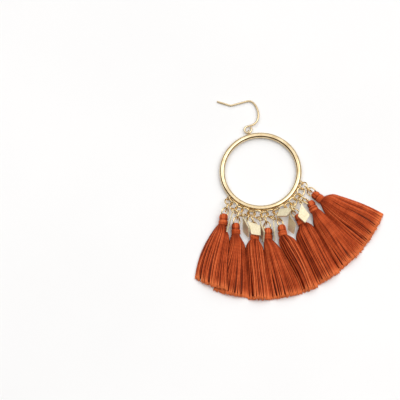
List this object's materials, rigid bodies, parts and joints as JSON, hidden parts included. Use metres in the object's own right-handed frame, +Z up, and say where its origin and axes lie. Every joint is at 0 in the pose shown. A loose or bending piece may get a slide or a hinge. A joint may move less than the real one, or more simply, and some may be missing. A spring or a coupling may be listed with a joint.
{
  "type": "tassel earring",
  "caption": "Drop earring with a fish-hook ear wire, a round hoop, a chain swag and a wide fan of thread tassels and kite-shaped charms.",
  "frame": {"origin": "middle of the whole outline, on the surface that the earring lies on", "axes": "+Y from the fan of tassels to the ear hook, +Z up off the surface, +X to the right as seen from above"},
  "size_m": [0.0862, 0.094, 0.0063],
  "materials": {
    "gold": "polished pale gold plating",
    "charm_gold": "satin pale gold plating",
    "thread": "silky rust-orange thread"
  },
  "bodies": {
    "root": {"hoop": "gold", "ear_hook": "gold", "link_1": "gold", "link_2": "gold", "link_3": "gold", "link_4": "gold", "link_5": "gold", "link_6": "gold", "link_7": "gold", "link_8": "gold", "link_9": "gold", "link_10": "gold", "link_11": "gold", "link_12": "gold", "link_13": "gold", "link_14": "gold", "link_15": "gold", "tassel_1": "thread", "tassel_2": "thread", "tassel_3": "thread", "tassel_4": "thread", "tassel_5": "thread", "tassel_6": "thread", "tassel_7": "thread", "tassel_8": "thread", "tassel_ring_upper_1": "gold", "tassel_ring_upper_2": "gold", "tassel_ring_upper_3": "gold", "tassel_ring_upper_4": "gold", "tassel_ring_upper_5": "gold", "tassel_ring_upper_6": "gold", "tassel_ring_upper_7": "gold", "tassel_ring_upper_8": "gold", "tassel_ring_lower_1": "gold", "tassel_ring_lower_2": "gold", "tassel_ring_lower_3": "gold", "tassel_ring_lower_4": "gold", "tassel_ring_lower_5": "gold", "tassel_ring_lower_6": "gold", "tassel_ring_lower_7": "gold", "tassel_ring_lower_8": "gold", "charm_1": "charm_gold", "charm_2": "charm_gold", "charm_3": "charm_gold", "charm_4": "charm_gold", "charm_5": "charm_gold", "charm_6": "charm_gold", "charm_7": "charm_gold", "charm_8": "charm_gold", "charm_ring_1": "gold", "charm_ring_2": "gold", "charm_ring_3": "gold", "charm_ring_4": "gold", "charm_ring_5": "gold", "charm_ring_6": "gold", "charm_ring_7": "gold", "charm_ring_8": "gold"}
  },
  "joints": []
}
